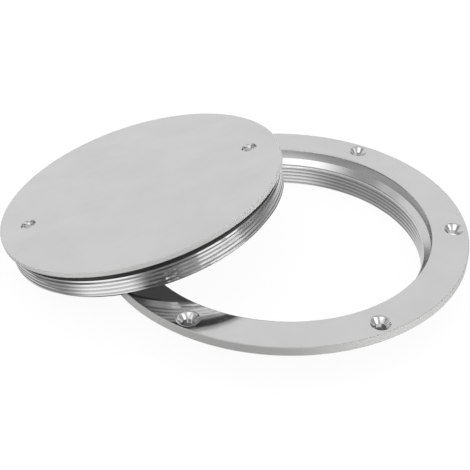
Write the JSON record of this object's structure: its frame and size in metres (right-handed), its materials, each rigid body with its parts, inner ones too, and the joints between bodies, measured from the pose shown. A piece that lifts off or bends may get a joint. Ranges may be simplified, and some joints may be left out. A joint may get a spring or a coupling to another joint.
{
  "type": "deck inspection plate",
  "caption": "Round deck inspection plate: a flush flanged ring with an inner thread, and a screw-in lid with a rim seal that leans on it.",
  "frame": {"origin": "on the ring's axis, at the centre of its screw-hole circle, in the face of the deck that the flange lies on", "axes": "+Z along the ring's axis, up out of the deck; the lid leans on the ring on its -X side"},
  "size_m": [0.2042, 0.16, 0.0466],
  "materials": {
    "ring_steel": "polished stainless steel",
    "lid_steel": "satin stainless steel with a turned edge",
    "seal_rubber": "matt black rubber"
  },
  "bodies": {
    "root": {"deck_ring": "ring_steel", "lid": "lid_steel", "seal": "seal_rubber"}
  },
  "joints": []
}
